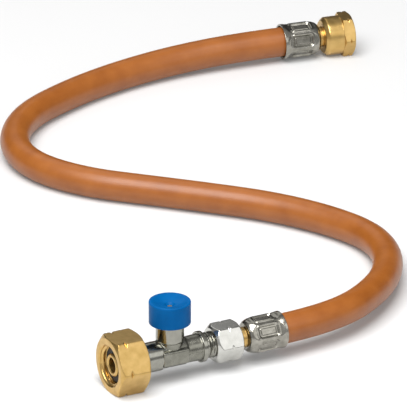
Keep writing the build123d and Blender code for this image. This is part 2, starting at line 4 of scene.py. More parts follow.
import bmesh
import bpy
import numpy as np
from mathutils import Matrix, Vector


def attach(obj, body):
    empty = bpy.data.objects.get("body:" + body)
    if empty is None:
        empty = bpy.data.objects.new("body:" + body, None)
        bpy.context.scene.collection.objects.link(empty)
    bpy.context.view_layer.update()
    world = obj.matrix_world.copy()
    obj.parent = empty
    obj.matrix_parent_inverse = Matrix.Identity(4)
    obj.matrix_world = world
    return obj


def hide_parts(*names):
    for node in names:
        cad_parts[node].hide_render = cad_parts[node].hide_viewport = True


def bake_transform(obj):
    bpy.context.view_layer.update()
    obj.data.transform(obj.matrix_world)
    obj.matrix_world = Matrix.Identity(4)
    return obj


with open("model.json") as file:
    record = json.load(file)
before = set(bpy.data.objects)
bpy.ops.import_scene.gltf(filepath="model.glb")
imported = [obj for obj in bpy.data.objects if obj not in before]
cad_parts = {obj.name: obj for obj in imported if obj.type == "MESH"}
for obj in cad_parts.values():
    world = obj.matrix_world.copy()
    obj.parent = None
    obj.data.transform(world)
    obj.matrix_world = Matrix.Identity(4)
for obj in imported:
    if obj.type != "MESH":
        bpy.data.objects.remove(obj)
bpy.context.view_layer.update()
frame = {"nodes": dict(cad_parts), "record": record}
mm = 0.001
record = frame["record"]
print("frame loaded:", len(frame["nodes"]), "nodes")


viewpoint = {
    "turn": -27.2,  # degrees round the valve, as seen from above
    "lift": 24.0,  # degrees above the floor
    "lens": 1000.0,  # long lens, so that hardly anything shrinks with distance
    "sensor": 36.0,
    "frameWidth": 0.2200,  # metres across the picture
    "aim": (0.0957, 0.1762, 0.0079),
}


def makeCamera(look):
    # stands off along the line of sight, far enough for the frame width at this lens
    data = bpy.data.cameras.new("camera")
    data.lens = look["lens"]
    data.sensor_width = look["sensor"]
    distance = look["frameWidth"] * look["lens"] / look["sensor"]
    data.clip_start, data.clip_end = 0.1, 4 * distance
    camera = bpy.data.objects.new("camera", data)
    turn, lift = math.radians(look["turn"]), math.radians(look["lift"])
    flat = math.cos(lift)
    back = np.array([math.sin(turn) * flat, -math.cos(turn) * flat, math.sin(lift)])
    camera.location = np.array(look["aim"]) + back * distance
    camera.rotation_euler = (math.pi / 2 - lift, 0, turn)
    bpy.context.scene.collection.objects.link(camera)
    bpy.context.scene.camera = camera


makeCamera(viewpoint)

studio = {
    "floorSize": 40.0,
    "floorColor": (0.60, 0.60, 0.60, 1),
    "floorGlow": 0.10,
    "sky": 1.0,
    "skyLean": (0.8, 0.6),  # the sky is brightest this far over and up, towards the camera
    "skyLevels": ((0.05, 0.04), (0.42, 0.09), (0.60, 0.28), (0.95, 0.50)),
    "keyPower": 56.0,
    "keyPlace": (-0.48, -0.40, 1.68),
    "keySize": 1.5,
    "fillPower": 2.2,
    "fillSize": 0.8,
    "fillPlace": (0.62, -1.10, 0.85),
    "rimPower": 2.5,
    "rimSize": 1.0,
    "rimPlace": (0.3, 1.4, 1.2),
    "middle": (0.08, 0.15, 0.02),  # where all three lights point
}


def linkObject(name, data):
    obj = bpy.data.objects.new(name, data)
    bpy.context.scene.collection.objects.link(obj)
    return obj


def areaLight(name, power, size, place, target):
    data = bpy.data.lights.new(name, "AREA")
    data.energy, data.size = power, size
    light = linkObject(name, data)
    light.location = place
    direction = Vector(target) - Vector(place)
    light.rotation_euler = direction.to_track_quat("-Z", "Y").to_euler()


def makeSky(setting):
    # brightness falls from the light tent over the camera to a dark wall behind the object
    world = bpy.data.worlds.new("studio")
    world.use_nodes = True
    nodes, links = world.node_tree.nodes, world.node_tree.links
    coordinate = nodes.new("ShaderNodeTexCoord")
    along = nodes.new("ShaderNodeVectorMath")
    along.operation = "DOT_PRODUCT"
    turn = math.radians(viewpoint["turn"])
    level, rise = setting["skyLean"]
    along.inputs[1].default_value = (math.sin(turn) * level, -math.cos(turn) * level, rise)
    ramp = nodes.new("ShaderNodeValToRGB")
    stops = ramp.color_ramp.elements
    stops[0].position, stops[1].position = 0.0, 1.0
    for place, level in setting["skyLevels"]:
        stop = stops.new(place)
        stop.color = (level, level, level, 1)
    stops.remove(stops[0])
    stops.remove(stops[len(stops) - 1])
    remap = nodes.new("ShaderNodeMath")
    remap.operation = "MULTIPLY_ADD"
    remap.inputs[1].default_value, remap.inputs[2].default_value = 0.5, 0.5
    links.new(coordinate.outputs["Generated"], along.inputs[0])
    links.new(along.outputs["Value"], remap.inputs[0])
    links.new(remap.outputs["Value"], ramp.inputs["Fac"])
    links.new(ramp.outputs["Color"], nodes["Background"].inputs["Color"])
    nodes["Background"].inputs["Strength"].default_value = setting["sky"]
    bpy.context.scene.world = world


def makeStudio(setting):
    half = setting["floorSize"] / 2
    mesh = bpy.data.meshes.new("floor")
    corners = [(-half, -half, 0), (half, -half, 0), (half, half, 0), (-half, half, 0)]
    mesh.from_pydata(corners, [], [(0, 1, 2, 3)])
    floor = linkObject("floor", mesh)
    paint = bpy.data.materials.new("floorPaint")
    paint.use_nodes = True
    shader = paint.node_tree.nodes["Principled BSDF"]
    shader.inputs["Base Color"].default_value = setting["floorColor"]
    shader.inputs["Roughness"].default_value = 0.9
    shader.inputs["Emission Color"].default_value = (1, 1, 1, 1)
    shader.inputs["Emission Strength"].default_value = setting["floorGlow"]
    mesh.materials.append(paint)
    makeSky(setting)
    for light in ("key", "fill", "rim"):
        power, size = setting[light + "Power"], setting[light + "Size"]
        areaLight(light + "Light", power, size, setting[light + "Place"], setting["middle"])


makeStudio(studio)
bpy.context.scene.view_settings.view_transform = "Standard"
print("camera and studio ready")


def newMaterial(name, settings):
    # a Principled shader with its plain values set on its own sockets
    material = bpy.data.materials.new(name)
    material.use_nodes = True
    shader = material.node_tree.nodes["Principled BSDF"]
    for socket, value in settings.items():
        shader.inputs[socket].default_value = value
    return material, material.node_tree.nodes, material.node_tree.links, shader


def noiseOn(nodes, links, scale, detail=4.0, stretch=None):
    # noise on Object coordinates, in metres, stretched along the axes if asked
    coordinate = nodes.new("ShaderNodeTexCoord")
    noise = nodes.new("ShaderNodeTexNoise")
    noise.inputs["Scale"].default_value = scale
    noise.inputs["Detail"].default_value = detail
    if stretch is None:
        links.new(coordinate.outputs["Object"], noise.inputs["Vector"])
    else:
        mapping = nodes.new("ShaderNodeMapping")
        mapping.inputs["Scale"].default_value = stretch
        links.new(coordinate.outputs["Object"], mapping.inputs["Vector"])
        links.new(mapping.outputs["Vector"], noise.inputs["Vector"])
    return noise


def colorBetween(nodes, links, source, low, high, start=0.3, end=0.7):
    # a ramp from low to high colour over part of the source's range
    ramp = nodes.new("ShaderNodeValToRGB")
    ramp.color_ramp.elements[0].position, ramp.color_ramp.elements[1].position = start, end
    ramp.color_ramp.elements[0].color = (*low, 1)
    ramp.color_ramp.elements[1].color = (*high, 1)
    links.new(source, ramp.inputs["Fac"])
    return ramp.outputs["Color"]


def valueBetween(nodes, links, source, low, high):
    # the source, from 0 to 1, mapped to a number from low to high
    spread = nodes.new("ShaderNodeMapRange")
    spread.inputs["To Min"].default_value = low
    spread.inputs["To Max"].default_value = high
    links.new(source, spread.inputs["Value"])
    return spread.outputs["Result"]


def bumpFrom(nodes, links, shader, source, distance, before=None):
    # surface relief of the given depth, in metres
    bump = nodes.new("ShaderNodeBump")
    bump.inputs["Distance"].default_value = distance
    bump.inputs["Strength"].default_value = 1.0
    links.new(source, bump.inputs["Height"])
    if before is not None:
        links.new(before, bump.inputs["Normal"])
    links.new(bump.outputs["Normal"], shader.inputs["Normal"])
    return bump.outputs["Normal"]


def metalMaterial(name, look):
    # plated or machined metal: mottled colour, uneven polish, fine tool marks and dents
    material, nodes, links, shader = newMaterial(name, {"Metallic": 1.0})
    mottle = noiseOn(nodes, links, look["mottleScale"], 5.0)
    color = colorBetween(nodes, links, mottle.outputs["Fac"], look["dark"], look["light"])
    links.new(color, shader.inputs["Base Color"])
    polish = noiseOn(nodes, links, look["polishScale"], 6.0)
    rough = valueBetween(nodes, links, polish.outputs["Fac"], *look["roughness"])
    links.new(rough, shader.inputs["Roughness"])
    marks = noiseOn(nodes, links, look["markScale"], 3.0, look["markStretch"])
    first = bumpFrom(nodes, links, shader, marks.outputs["Fac"], look["markDepth"])
    dents = noiseOn(nodes, links, look["dentScale"], 2.0)
    bumpFrom(nodes, links, shader, dents.outputs["Fac"], look["dentDepth"], before=first)
    return material


# scales are per metre, depths in metres; colour runs from dark to light with the mottle
brassLook = {
    "dark": (0.53, 0.34, 0.11),
    "light": (0.66, 0.44, 0.165),
    "mottleScale": 220.0,
    "polishScale": 500.0,
    "roughness": (0.24, 0.40),
    "markScale": 900.0,
    "markStretch": (4.0, 1.0, 1.0),
    "markDepth": 0.000015,
    "dentScale": 350.0,
    "dentDepth": 0.00004,
}
nickelLook = {
    "dark": (0.195, 0.192, 0.162),
    "light": (0.265, 0.26, 0.223),
    "mottleScale": 260.0,
    "polishScale": 420.0,
    "roughness": (0.18, 0.34),
    "markScale": 700.0,
    "markStretch": (1.0, 1.0, 1.0),
    "markDepth": 0.000015,
    "dentScale": 240.0,
    "dentDepth": 0.00005,
}
machinedLook = {
    **nickelLook,
    "dark": (0.27, 0.265, 0.23),
    "light": (0.34, 0.335, 0.295),
    "roughness": (0.13, 0.22),
    "markDepth": 0.000003,
    "dentDepth": 0.000004,
}
zincLook = {
    "dark": (0.54, 0.535, 0.50),
    "light": (0.61, 0.605, 0.57),
    "mottleScale": 300.0,
    "polishScale": 450.0,
    "roughness": (0.16, 0.24),
    "markScale": 900.0,
    "markStretch": (1.0, 1.0, 1.0),
    "markDepth": 0.000006,
    "dentScale": 260.0,
    "dentDepth": 0.000012,
}
pressedLook = {
    **zincLook,
    "dark": (0.25, 0.24, 0.205),
    "light": (0.40, 0.385, 0.34),
    "roughness": (0.16, 0.28),
    "dentDepth": 0.00002,
}
springLook = {**zincLook, "dark": (0.4, 0.4, 0.4), "light": (0.55, 0.55, 0.55)}
yellowBrass = metalMaterial("yellowBrass", brassLook)
nickelPlate = metalMaterial("nickelPlate", nickelLook)
machinedNickel = metalMaterial("machinedNickel", machinedLook)
zincSteel = metalMaterial("zincSteel", zincLook)
pressedSteel = metalMaterial("pressedSteel", pressedLook)
springSteel = metalMaterial("springSteel", springLook)


def plasticMaterial(name, look):
    # moulded plastic or rubber: near-even colour, fine grain in the surface, slight change of gloss
    material, nodes, links, shader = newMaterial(name, {"Specular IOR Level": look["specular"]})
    mottle = noiseOn(nodes, links, look["mottleScale"], 4.0)
    color = colorBetween(nodes, links, mottle.outputs["Fac"], look["dark"], look["light"])
    links.new(color, shader.inputs["Base Color"])
    polish = noiseOn(nodes, links, look["grainScale"] * 0.4, 4.0)
    rough = valueBetween(nodes, links, polish.outputs["Fac"], *look["roughness"])
    links.new(rough, shader.inputs["Roughness"])
    grain = noiseOn(nodes, links, look["grainScale"], 3.0)
    bumpFrom(nodes, links, shader, grain.outputs["Fac"], look["grainDepth"])
    return material


bluePlastic = plasticMaterial("bluePlastic", {
    "dark": (0.0, 0.073, 0.235),
    "light": (0.0, 0.092, 0.285),
    "specular": 0.06,
    "mottleScale": 150.0,
    "roughness": (0.30, 0.42),
    "grainScale": 1800.0,
    "grainDepth": 0.00003,
})
blackRubber = plasticMaterial("blackRubber", {
    "dark": (0.010, 0.009, 0.009),
    "light": (0.022, 0.020, 0.020),
    "specular": 0.4,
    "mottleScale": 300.0,
    "roughness": (0.45, 0.6),
    "grainScale": 2500.0,
    "grainDepth": 0.00003,
})
whitePlastic = plasticMaterial("whitePlastic", {
    "dark": (0.70, 0.70, 0.66),
    "light": (0.78, 0.78, 0.74),
    "specular": 0.5,
    "mottleScale": 200.0,
    "roughness": (0.4, 0.5),
    "grainScale": 1500.0,
    "grainDepth": 0.00002,
})
orangeRubber = plasticMaterial("orangeRubber", {
    "dark": (0.255, 0.070, 0.005),
    "light": (0.322, 0.098, 0.012),
    "specular": 0.62,
    "mottleScale": 90.0,
    "roughness": (0.33, 0.44),
    "grainScale": 1400.0,
    "grainDepth": 0.00006,
})
print("materials ready")

slotMaterials = {
    "yellow_brass": yellowBrass,
    "nickel_plate": nickelPlate,
    "zinc_steel": zincSteel,
    "spring_steel": springSteel,
    "blue_plastic": bluePlastic,
    "black_rubber": blackRubber,
    "white_plastic": whitePlastic,
    "orange_rubber": orangeRubber,
}
for entry in record["subparts"]:
    node = frame["nodes"][entry["node"]]
    node.data.materials.clear()
    node.data.materials.append(slotMaterials[entry["material_slot"]])


# an axis is its origin in mm, its direction, and the direction that angle zero points in
axisHeight = 15.0  # half the inlet nut's flats, since it stands on one of them
buttonX = -14.6
nearMouthX = 50.5  # where the hose leaves the near ferrule
farMouth = (232.28, 347.66, 11.0)
farTurn = math.radians(-9.2)
upward = (0.0, 0.0, 1.0)
flowAxis = ((0.0, 0.0, axisHeight), (1.0, 0.0, 0.0), upward)
buttonAxis = ((buttonX, 0.0, axisHeight), upward, (1.0, 0.0, 0.0))
nearHoseAxis = ((nearMouthX, 0.0, axisHeight), (-1.0, 0.0, 0.0), upward)
farHoseAxis = (farMouth, (math.cos(farTurn), math.sin(farTurn), 0.0), upward)


def softMin(first, second, blend):
    # the smaller of two arrays, rounded off over the blend distance where they cross
    share = np.clip(0.5 + 0.5 * (second - first) / blend, 0, 1)
    return second * (1 - share) + first * share - blend * share * (1 - share)


def easeStep(value):
    # 0 below zero, 1 above one, and the cubic 3v^2 - 2v^3 between
    held = np.clip(value, 0, 1)
    return held * held * (3 - 2 * held)


def roundedLoop(corners):
    # closed outline from (along, radius, rounding, spacing) corners: each corner becomes the
    # parabola between the points one rounding away from it, and each run after it is filled
    table = np.array(corners, float)
    points, rounding, spacing = table[:, :2], table[:, 2:3], table[:, 3]
    toBefore = np.roll(points, 1, axis=0) - points
    toAfter = np.roll(points, -1, axis=0) - points
    lengthBefore = np.linalg.norm(toBefore, axis=1, keepdims=True)
    lengthAfter = np.linalg.norm(toAfter, axis=1, keepdims=True)
    cut = np.minimum(rounding, 0.45 * np.minimum(lengthBefore, lengthAfter))
    start = points + toBefore / lengthBefore * cut
    end = points + toAfter / lengthAfter * cut
    t = np.linspace(0, 1, 5)[None, :, None]
    curves = (1 - t) ** 2 * start[:, None] + 2 * t * (1 - t) * points[:, None] + t**2 * end[:, None]
    pieces = []
    for curve, leave, arrive, gap in zip(curves, end, np.roll(start, -1, axis=0), spacing):
        count = max(1, int(round(np.linalg.norm(arrive - leave) / gap)))
        share = np.linspace(0, 1, count + 1)[1:-1, None]
        pieces += [curve, leave + (arrive - leave) * share]
    loop = np.concatenate(pieces)
    return loop[:, :1], loop[:, 1:]


def angleRow(count):
    return np.linspace(0, 2 * np.pi, count, endpoint=False)[None, :]


def hexLimit(angle, flats, sharpness):
    # distance from the axis to a hexagon with a flat at angle zero: its three pairs of flats
    # joined by a p-norm, which rounds the corners
    terms = [np.abs(np.cos(angle - math.radians(60 * side))) ** sharpness for side in range(3)]
    return flats / 2 / sum(terms) ** (1 / sharpness)


def cutNotch(solid, along, shape):
    # a V turned round the nut, which only its corners are tall enough to meet
    notch = shape["notchRoot"] + np.abs(along - shape["notchPlace"]) * shape["notchSlope"]
    return softMin(solid, notch, shape["notchBlend"])


def cutThread(solid, along, radius, angle, shape):
    # ridges stand inwards from the bore, and fade out at both ends of the thread
    first, last = shape["threadSpan"]
    fadeIn, fadeOut = shape["threadFade"]
    fade = easeStep((along - first) / fadeIn) * easeStep((last - along) / fadeOut)
    onThread = fade * (np.abs(radius - shape["threadBore"]) < 0.3)
    return solid - shape["threadDepth"] * onThread * helixRidge(along, angle, shape["pitch"], -1)


def helixRidge(along, angle, pitch, hand):
    # triangle wave of height 1 along a helix: 1 on the crest and 0 in the root
    phase = np.mod(along / pitch + hand * angle / (2 * np.pi), 1.0)
    return np.clip(1.15 * (1 - np.abs(2 * phase - 1)), 0, 1)


def gridMesh(name, points):
    # closed grid, wrapped both ways, turned inside out if its signed volume is negative
    rows, columns = points.shape[:2]
    index = np.arange(rows * columns).reshape(rows, columns)
    below, beside = np.roll(index, -1, axis=0), np.roll(index, -1, axis=1)
    corner = np.roll(below, -1, axis=1)
    faces = np.stack([index, below, corner, beside], axis=-1).reshape(-1, 4)
    flat = points.reshape(-1, 3)
    a, b, c, d = (flat[faces[:, k]] for k in range(4))
    volume = np.einsum("ij,ij->i", a, np.cross(b, c)) + np.einsum("ij,ij->i", a, np.cross(c, d))
    if volume.sum() < 0:
        faces = faces[:, ::-1]
    mesh = bpy.data.meshes.new(name)
    mesh.from_pydata(flat.tolist(), [], faces.tolist())
    return mesh


def turnedMesh(name, along, radius, angle, axis):
    # point = origin + along * direction + radius * (cos(angle) * up + sin(angle) * side)
    origin, direction, up = (np.array(part, float) for part in axis)
    side = np.cross(direction, up)
    along, radius, angle = np.broadcast_arrays(along, radius, angle)
    outwards = np.cos(angle)[..., None] * up + np.sin(angle)[..., None] * side
    points = origin + along[..., None] * direction + radius[..., None] * outwards
    return gridMesh(name, points * mm)


def smoothShade(mesh):
    mesh.shade_smooth()
    mesh.set_sharp_from_angle(angle=math.radians(38))


def addPiece(name, mesh, body, nodes, slotName):
    smoothShade(mesh)
    piece = linkObject(name, mesh)
    mesh.materials.clear()
    mesh.materials.append(slotMaterials[slotName])
    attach(piece, body)
    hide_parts(*nodes)
    return piece


inletNutShape = {
    "flats": 30.0,
    "cornerSharpness": 90.0,
    "chamferBlend": 0.22,
    "columns": 288,
    "pitch": 1.814,
    "threadBore": 10.9,
    "threadDepth": 1.16,
    "threadSpan": (-49.8, -42.1),
    "threadFade": (0.9, 0.5),
    "notchPlace": -44.7,
    "notchRoot": 16.0,
    "notchSlope": 1.2,
    "notchBlend": 0.12,
    # along, radius, rounding, spacing, as in every outline below
    "outline": (
        (-50.5, 11.6, 0.25, 1.0),
        (-50.5, 14.6, 0.35, 0.4),
        (-48.93, 17.3, 0.4, 0.3),
        (-34.57, 17.3, 0.4, 0.4),
        (-33.0, 14.6, 0.35, 1.5),
        (-33.0, 8.2, 0.3, 1.5),
        (-40.5, 8.2, 0.1, 1.0),
        (-40.5, 11.3, 0.1, 0.8),
        (-42.0, 11.3, 0.1, 0.4),
        (-42.0, 10.9, 0.1, 0.26),
        (-49.8, 10.9, 0.2, 0.4),
    ),
}


def makeInletNut(shape):
    # hexagon cut by the turned outline, less a V round every corner, with a thread inside
    along, radius = roundedLoop(shape["outline"])
    angle = angleRow(shape["columns"])
    hexagon = hexLimit(angle, shape["flats"], shape["cornerSharpness"])
    solid = softMin(radius, hexagon, shape["chamferBlend"])
    solid = cutNotch(solid, along, shape)
    solid = cutThread(solid, along, radius, angle, shape)
    mesh = turnedMesh("inletNut", along, solid, angle, flowAxis)
    addPiece("inletNut", mesh, "inlet_nut", ["inlet_union_nut"], "yellow_brass")


outletNutShape = {
    "flats": 19.0,
    "cornerSharpness": 70.0,
    "chamferBlend": 0.2,
    "columns": 264,
    "notchPlace": 17.65,
    "notchRoot": 9.97,
    "notchSlope": 1.4,
    "notchBlend": 0.1,
    "outline": (
        (9.3, 7.05, 0.1, 0.6),
        (9.3, 8.6, 0.25, 0.35),
        (11.9, 10.95, 0.5, 0.3),
        (23.4, 10.95, 0.4, 0.35),
        (24.8, 8.9, 0.35, 0.8),
        (24.8, 5.62, 0.15, 0.7),
        (22.8, 5.62, 0.1, 0.7),
        (22.8, 7.05, 0.1, 2.0),
    ),
}


def makeOutletNut(shape):
    # hexagon cut by a turned nose at one end and a chamfer at the other
    along, radius = roundedLoop(shape["outline"])
    angle = angleRow(shape["columns"])
    hexagon = hexLimit(angle, shape["flats"], shape["cornerSharpness"])
    solid = softMin(radius, hexagon, shape["chamferBlend"])
    solid = cutNotch(solid, along, shape)
    mesh = turnedMesh("outletNut", along, solid, angle, flowAxis)
    addPiece("outletNut", mesh, "hose_line", ["outlet_union_nut"], "zinc_steel")


farNutShape = {
    "flats": 22.0,
    "cornerSharpness": 80.0,
    "chamferBlend": 0.15,
    "columns": 264,
    "pitch": 1.337,
    "threadBore": 8.33,
    "threadDepth": 0.85,
    "threadSpan": (32.5, 39.85),
    "threadFade": (0.4, 0.6),
    "notchPlace": 37.4,
    "notchRoot": 11.8,
    "notchSlope": 1.8,
    "notchBlend": 0.08,
    "outline": (
        (23.8, 5.72, 0.1, 1.2),
        (23.8, 8.9, 0.3, 0.4),
        (25.7, 10.8, 0.5, 0.9),
        (34.1, 10.8, 0.08, 0.2),
        (34.1, 11.3, 0.12, 0.3),
        (34.7, 12.7, 0.2, 0.25),
        (39.5, 12.7, 0.2, 0.3),
        (40.7, 10.6, 0.25, 0.5),
        (40.7, 9.13, 0.15, 0.3),
        (39.9, 8.33, 0.1, 0.19),
        (32.4, 8.33, 0.08, 0.2),
        (32.4, 8.8, 0.08, 0.8),
        (26.0, 8.8, 0.1, 0.8),
        (26.0, 5.72, 0.1, 0.9),
    ),
}


def makeFarNut(shape):
    # round shoulder, then a hexagon with a chamfer at both ends and a thread inside
    along, radius = roundedLoop(shape["outline"])
    angle = angleRow(shape["columns"])
    hexagon = hexLimit(angle, shape["flats"], shape["cornerSharpness"])
    solid = softMin(radius, hexagon, shape["chamferBlend"])
    solid = cutNotch(solid, along, shape)
    solid = cutThread(solid, along, radius, angle, shape)
    mesh = turnedMesh("farNut", along, solid, angle, farHoseAxis)
    return addPiece("farNut", mesh, "far_nut", ["far_union_nut"], "yellow_brass")


ferruleShape = {
    "flats": 17.2,
    "cornerSharpness": 60.0,
    "chamferBlend": 0.25,
    "columns": 360,
    "flareLength": 4.4,  # from the mouth to where the hexagon is fully pressed
    "flareOpening": 1.8,
    "pocketMiddle": 10.6,
    "pocketHalf": (5.6, 3.2),
    "pocketCorner": 1.5,
    "pocketDepth": 0.70,
    "pocketSlope": 0.45,
    "panelInset": 1.15,  # how far inside the groove's outer edge the panel begins
    "panelSlope": 0.5,
    "panelRise": 0.45,
    "borderPlace": 0.55,
    "borderWidth": 0.36,
    "borderHeight": 0.36,
    "skinRadius": 8.3,  # only what lies outside this is pressed
    "outline": (
        (0.0, 9.05, 0.15, 0.5),
        (0.0, 9.95, 0.2, 0.3),
        (1.2, 9.88, 0.8, 0.3),
        (4.2, 9.43, 1.5, 0.25),
        (17.6, 9.43, 1.2, 0.3),
        (20.2, 8.45, 0.9, 0.3),
        (21.4, 7.25, 0.8, 0.8),
        (21.4, 4.02, 0.15, 0.6),
        (20.2, 4.02, 0.1, 0.8),
        (20.2, 7.33, 0.2, 1.2),
        (3.8, 7.33, 0.2, 0.6),
        (2.6, 8.18, 0.2, 0.6),
    ),
}


def makeFerrule(shape, name, node, axis, roll):
    # sleeve pressed to a soft hexagon that opens into the flare; every face has a rounded
    # rectangular groove pressed in, with a raised edge outside it and a raised panel inside it
    along, radius = roundedLoop(shape["outline"])
    angle = angleRow(shape["columns"])
    rolled = angle - math.radians(roll)
    flare = shape["flareLength"]
    opening = shape["flareOpening"] * easeStep((flare - along) / flare)
    hexagon = hexLimit(rolled, shape["flats"], shape["cornerSharpness"])
    solid = softMin(radius, hexagon + opening, shape["chamferBlend"])
    fromFlat = np.mod(rolled + np.pi / 6, np.pi / 3) - np.pi / 6
    across = shape["flats"] / 2 * np.tan(fromFlat)
    halfLength, halfWidth = shape["pocketHalf"]
    overLength = np.abs(along - shape["pocketMiddle"]) - halfLength + shape["pocketCorner"]
    overWidth = np.abs(across) - halfWidth + shape["pocketCorner"]
    outside = np.hypot(np.maximum(overLength, 0), np.maximum(overWidth, 0))
    distance = outside + np.minimum(np.maximum(overLength, overWidth), 0) - shape["pocketCorner"]
    groove = shape["pocketDepth"] * easeStep((0.05 - distance) / shape["pocketSlope"])
    panel = shape["panelRise"] * easeStep((-shape["panelInset"] - distance) / shape["panelSlope"])
    fromBorder = (distance - shape["borderPlace"]) / shape["borderWidth"]
    border = shape["borderHeight"] * np.exp(-(fromBorder**2))
    solid = solid - np.where(radius > shape["skinRadius"], groove - panel - border, 0.0)
    mesh = turnedMesh(name, along, solid, angle, axis)
    ferrule = addPiece(name, mesh, "hose_line", [node], "zinc_steel")
    mesh.materials[0] = pressedSteel
    return ferrule


capShape = {
    "columns": 200,
    "outline": (
        (24.8, 1.53, 0.1, 1.5),
        (24.8, 9.5, 0.6, 1.2),
        (17.7, 9.5, 0.2, 0.6),
        (17.7, 11.1, 0.45, 1.2),
        (29.95, 11.1, 1.3, 0.4),
        (29.95, 9.6, 0.8, 0.4),
        (28.7, 6.4, 2.0, 0.4),
        (28.0, 2.9, 0.25, 0.3),
        (26.62, 1.53, 0.1, 0.6),
    ),
}


def makeCap(shape):
    # turned cup with a rolled rim, a shallow dish and a countersunk hole
    along, radius = roundedLoop(shape["outline"])
    mesh = turnedMesh("resetCap", along, radius, angleRow(shape["columns"]), buttonAxis)
    addPiece("resetCap", mesh, "button", ["reset_button_cap"], "blue_plastic")


bodyShape = {
    "voxel": 0.00024,
    "smoothing": 3,
    "neck": (
        (-40.84, 6.02, 0.1, 1.0),
        (-40.84, 8.0, 0.25, 1.5),
        (-21.3, 8.0, 0.4, 0.8),
        (-21.3, 4.52, 0.1, 1.5),
        (-32.2, 4.52, 0.1, 0.5),
        (-32.2, 6.02, 0.1, 1.5),
    ),
    "nose": (
        (1.2, 4.6, 0.1, 1.0),
        (1.2, 7.4, 0.1, 0.5),
        (1.7, 7.4, 0.05, 0.4),
        (1.7, 8.1, 0.1, 0.4),
        (2.0, 8.35, 0.15, 0.6),
        (4.0, 8.35, 0.15, 0.3),
        (4.3, 8.1, 0.1, 0.5),
        (4.3, 6.3, 0.15, 0.4),
        (6.0, 6.3, 0.1, 0.3),
        (6.5, 6.98, 0.1, 0.2),
        (17.4, 6.98, 0.1, 0.3),
        (17.9, 6.4, 0.1, 0.6),
        (17.9, 5.2, 0.1, 0.6),
        (9.9, 3.52, 0.1, 1.5),
        (1.2, 3.52, 0.1, 0.8),
    ),
    "stem": (
        (7.4, 5.02, 0.1, 1.0),
        (7.4, 7.0, 0.3, 0.5),
        (8.4, 7.5, 0.25, 1.0),
        (19.4, 7.5, 0.3, 0.8),
        (19.4, 5.02, 0.1, 1.2),
    ),
    "arm": (
        (-22.0, 1.0, 0.1, 1.0),
        (-22.0, 7.4, 0.6, 0.8),
        (-7.2, 7.4, 0.8, 0.6),
        (-6.2, 6.95, 0.8, 0.6),
        (1.7, 7.25, 0.3, 0.8),
        (1.7, 1.0, 0.1, 1.0),
    ),
    "root": (
        (0.0, 1.0, 0.1, 1.0),
        (0.0, 6.9, 0.1, 0.8),
        (9.38, 6.65, 0.3, 0.8),
        (9.38, 1.0, 0.1, 1.0),
    ),
    "pad": (7.4, 8.15, 4.4),  # half length, half width, half height
    "gusset": (10.6, 6.4, 2.6),  # half length at the arm, half length at the top, half width
    "gussetSpan": (4.0, 10.2),  # heights above the flow axis
    "flash": (0.4, 7.85),  # half height, reach from the axis
    "flashSpan": (-21.0, 1.4),
    "passage": ((-30.0, 4.5), (0.52, 4.5), (0.52, 3.52), (3.0, 3.52)),
    "well": ((0.0, 3.2), (9.4, 3.2), (9.4, 5.02), (22.0, 5.02)),
    "threadPitch": 1.5,
    "threadCrest": 6.98,
    "threadDepth": 0.72,
    "threadSpan": (6.3, 17.3),
    "threadFade": (0.5, 0.6),
}


def boxRing(along, halfUp, halfSide, angle, power=8.0):
    # distance from the axis to a rounded box: its two pairs of sides joined by a p-norm
    up, side = np.abs(np.cos(angle)) / halfUp, np.abs(np.sin(angle)) / halfSide
    return 1 / (up**power + side**power) ** (1 / power)


def boreMesh(name, steps, axis):
    # solid turned plug that runs to the axis at both ends, used only to cut a bore
    table = np.array(steps, float)
    along = np.concatenate([[table[0, 0]], table[:, 0], [table[-1, 0]]])[:, None]
    radius = np.concatenate([[0.0], table[:, 1], [0.0]])[:, None]
    mesh = turnedMesh(name, along, radius, angleRow(72), axis)
    cleaner = bmesh.new()
    cleaner.from_mesh(mesh)
    bmesh.ops.remove_doubles(cleaner, verts=cleaner.verts, dist=1e-7)
    bmesh.ops.dissolve_degenerate(cleaner, edges=cleaner.edges, dist=1e-8)
    bmesh.ops.recalc_face_normals(cleaner, faces=cleaner.faces)
    cleaner.to_mesh(mesh)
    cleaner.free()
    return mesh


def joinMeshes(name, meshes):
    # one mesh holding every closed shell of the list
    joined = bmesh.new()
    for mesh in meshes:
        joined.from_mesh(mesh)
    result = bpy.data.meshes.new(name)
    joined.to_mesh(result)
    joined.free()
    return result


